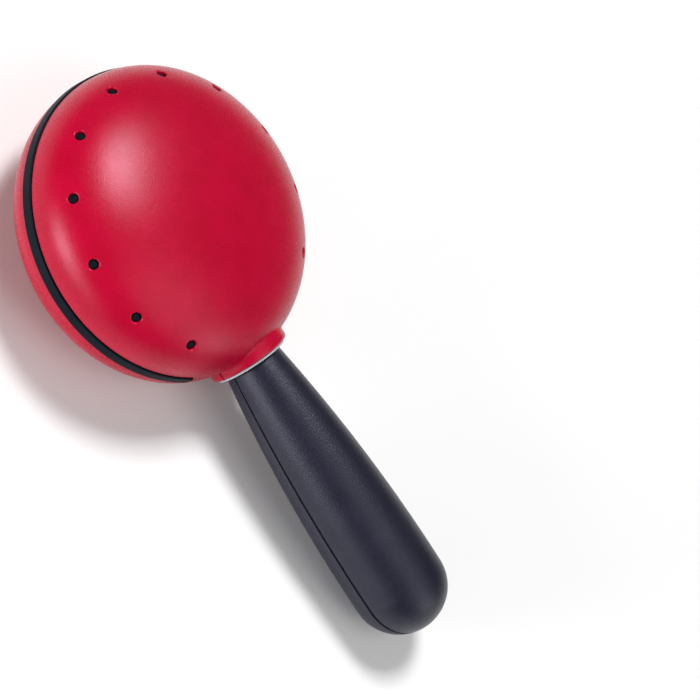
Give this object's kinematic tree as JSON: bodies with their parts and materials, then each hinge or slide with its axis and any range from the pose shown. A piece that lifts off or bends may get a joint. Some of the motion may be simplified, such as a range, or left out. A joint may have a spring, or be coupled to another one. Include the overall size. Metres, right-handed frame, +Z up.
{
  "type": "maraca",
  "caption": "Handled shaker with a lens-shaped two-shell head, a rim band, a ring of small rim holes, a collar and a club-shaped handle, holding loose shot.",
  "frame": {"origin": "middle of the bounding box at the height of the table, with the shaker lying on its rear dome and its round handle end", "axes": "+X runs from the head to the handle's end, +Y across the head, +Z up, out of the front dome"},
  "size_m": [0.223, 0.1112, 0.0593],
  "materials": {
    "head_shell": "satin, fine moulded grain",
    "hoop": "satin",
    "ring": "smooth satin",
    "handle": "satin, fine spark-eroded grain",
    "shot": "polished ball"
  },
  "bodies": {
    "maraca": {"front_shell": "head_shell", "rear_shell": "head_shell", "rim_hoop": "hoop", "neck_ring": "ring", "handle_front_half": "handle", "handle_rear_half": "handle"},
    "shot_01": {"shot_01": "shot"},
    "shot_02": {"shot_02": "shot"},
    "shot_03": {"shot_03": "shot"},
    "shot_04": {"shot_04": "shot"},
    "shot_05": {"shot_05": "shot"},
    "shot_06": {"shot_06": "shot"},
    "shot_07": {"shot_07": "shot"},
    "shot_08": {"shot_08": "shot"},
    "shot_09": {"shot_09": "shot"},
    "shot_10": {"shot_10": "shot"},
    "shot_11": {"shot_11": "shot"},
    "shot_12": {"shot_12": "shot"},
    "shot_13": {"shot_13": "shot"},
    "shot_14": {"shot_14": "shot"},
    "shot_15": {"shot_15": "shot"},
    "shot_16": {"shot_16": "shot"},
    "shot_17": {"shot_17": "shot"},
    "shot_18": {"shot_18": "shot"},
    "shot_19": {"shot_19": "shot"}
  },
  "joints": [
    {"name": "shot_01_slide", "type": "slide", "parent": "maraca", "child": "shot_01", "axis": [0.0836, 0, 0.9965], "range_m": [0, 0.04698]},
    {"name": "shot_02_slide", "type": "slide", "parent": "maraca", "child": "shot_02", "axis": [0.0836, 0, 0.9965], "range_m": [0, 0.04575]},
    {"name": "shot_03_slide", "type": "slide", "parent": "maraca", "child": "shot_03", "axis": [0.0836, 0, 0.9965], "range_m": [0, 0.04628]},
    {"name": "shot_04_slide", "type": "slide", "parent": "maraca", "child": "shot_04", "axis": [0.0836, 0, 0.9965], "range_m": [0, 0.04726]},
    {"name": "shot_05_slide", "type": "slide", "parent": "maraca", "child": "shot_05", "axis": [0.0836, 0, 0.9965], "range_m": [0, 0.04769]},
    {"name": "shot_06_slide", "type": "slide", "parent": "maraca", "child": "shot_06", "axis": [0.0836, 0, 0.9965], "range_m": [0, 0.04726]},
    {"name": "shot_07_slide", "type": "slide", "parent": "maraca", "child": "shot_07", "axis": [0.0836, 0, 0.9965], "range_m": [0, 0.04628]},
    {"name": "shot_08_slide", "type": "slide", "parent": "maraca", "child": "shot_08", "axis": [0.0836, 0, 0.9965], "range_m": [0, 0.0439]},
    {"name": "shot_09_slide", "type": "slide", "parent": "maraca", "child": "shot_09", "axis": [0.0836, 0, 0.9965], "range_m": [0, 0.04474]},
    {"name": "shot_10_slide", "type": "slide", "parent": "maraca", "child": "shot_10", "axis": [0.0836, 0, 0.9965], "range_m": [0, 0.04508]},
    {"name": "shot_11_slide", "type": "slide", "parent": "maraca", "child": "shot_11", "axis": [0.0836, 0, 0.9965], "range_m": [0, 0.04638]},
    {"name": "shot_12_slide", "type": "slide", "parent": "maraca", "child": "shot_12", "axis": [0.0836, 0, 0.9965], "range_m": [0, 0.04715]},
    {"name": "shot_13_slide", "type": "slide", "parent": "maraca", "child": "shot_13", "axis": [0.0836, 0, 0.9965], "range_m": [0, 0.04776]},
    {"name": "shot_14_slide", "type": "slide", "parent": "maraca", "child": "shot_14", "axis": [0.0836, 0, 0.9965], "range_m": [0, 0.04797]},
    {"name": "shot_15_slide", "type": "slide", "parent": "maraca", "child": "shot_15", "axis": [0.0836, 0, 0.9965], "range_m": [0, 0.04776]},
    {"name": "shot_16_slide", "type": "slide", "parent": "maraca", "child": "shot_16", "axis": [0.0836, 0, 0.9965], "range_m": [0, 0.04715]},
    {"name": "shot_17_slide", "type": "slide", "parent": "maraca", "child": "shot_17", "axis": [0.0836, 0, 0.9965], "range_m": [0, 0.04638]},
    {"name": "shot_18_slide", "type": "slide", "parent": "maraca", "child": "shot_18", "axis": [0.0836, 0, 0.9965], "range_m": [0, 0.04508]},
    {"name": "shot_19_slide", "type": "slide", "parent": "maraca", "child": "shot_19", "axis": [0.0836, 0, 0.9965], "range_m": [0, 0.04474]}
  ]
}
